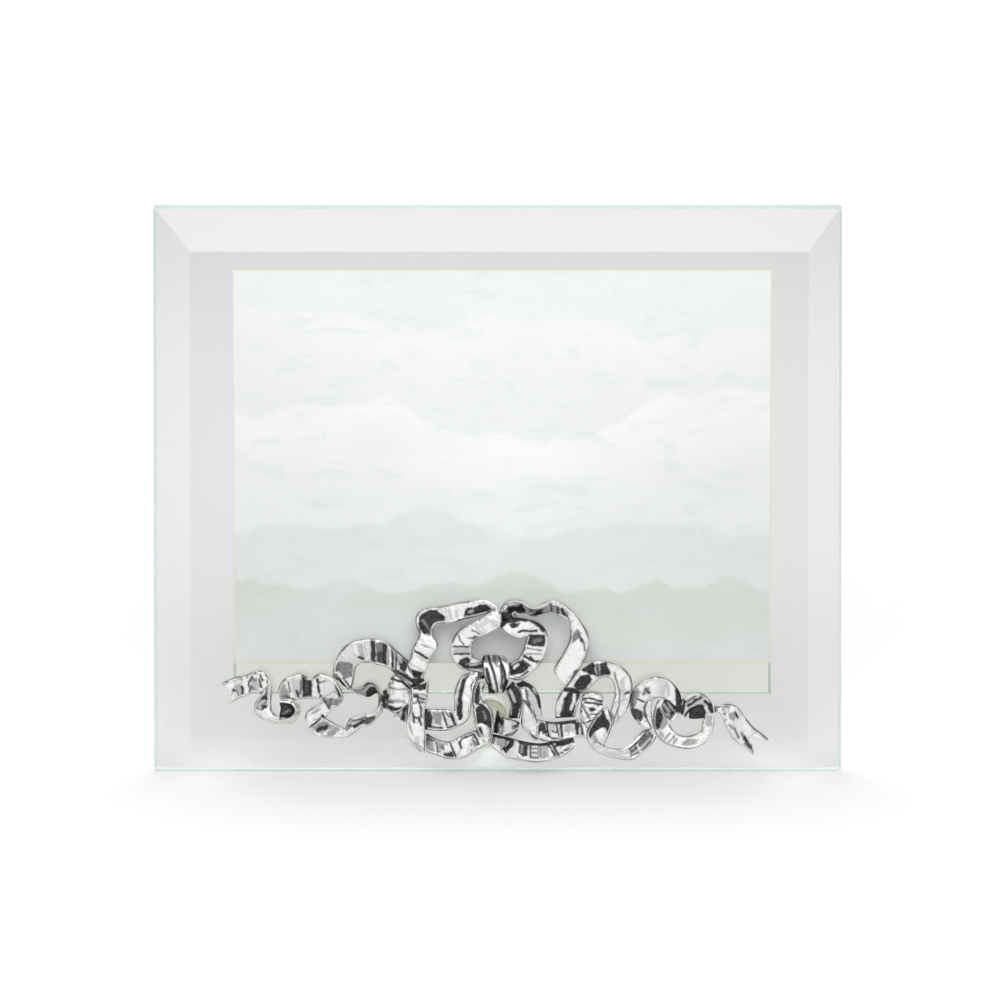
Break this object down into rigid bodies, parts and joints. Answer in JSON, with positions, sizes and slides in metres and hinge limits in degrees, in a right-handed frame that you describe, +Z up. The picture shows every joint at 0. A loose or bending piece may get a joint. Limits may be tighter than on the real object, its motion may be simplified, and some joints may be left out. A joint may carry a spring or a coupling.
{
  "type": "leaning photo frame",
  "caption": "Landscape photo frame of clear bevelled glass with a silver ribbon bow on its front. It leans back on a clear rod foot, and the print slides up out of its pocket.",
  "frame": {"origin": "middle of the standing frame's footprint, on the table top", "axes": "+X to the right of a person who looks at the print, +Y to the back, +Z up; the front faces -Y"},
  "size_m": [0.23, 0.0662, 0.1855],
  "materials": {
    "clear_glass": "clear, polished, with aqua edges",
    "clear_bond": "clear, set adhesive",
    "aged_bond": "clear adhesive, yellowed",
    "acrylic": "clear, polished",
    "soft_cap": "translucent, soft",
    "print_paper": "satin photo paper",
    "aged_silver": "polished silver plate, darkened in its recesses"
  },
  "bodies": {
    "frame": {"front_glass": "clear_glass", "rear_glass": "clear_glass", "pocket_strip": "clear_bond", "foot_bond": "aged_bond", "foot_rod": "acrylic", "foot_tip": "soft_cap", "left_tail": "aged_silver", "curl_back": "aged_silver", "left_arch": "aged_silver", "left_hem": "aged_silver", "big_arch": "aged_silver", "left_panel": "aged_silver", "left_drop": "aged_silver", "left_fan": "aged_silver", "left_loop": "aged_silver", "knot": "aged_silver", "right_loop": "aged_silver", "right_streamer": "aged_silver", "left_drape": "aged_silver", "inner_fold": "aged_silver", "left_swag": "aged_silver", "right_swag": "aged_silver", "small_end": "aged_silver", "right_strand": "aged_silver", "right_band": "aged_silver", "right_point": "aged_silver", "right_garland": "aged_silver", "first_ring": "aged_silver", "pleat_fan": "aged_silver", "swoop": "aged_silver", "second_ring": "aged_silver", "ring_tongue": "aged_silver", "third_ring": "aged_silver", "ring_back": "aged_silver", "right_tail": "aged_silver"},
    "print": {"photo_print": "print_paper"}
  },
  "joints": [
    {"name": "print_slide", "type": "slide", "parent": "frame", "child": "print", "axis": [0, 0.2079, 0.9781], "range_m": [0, 0.135]}
  ]
}
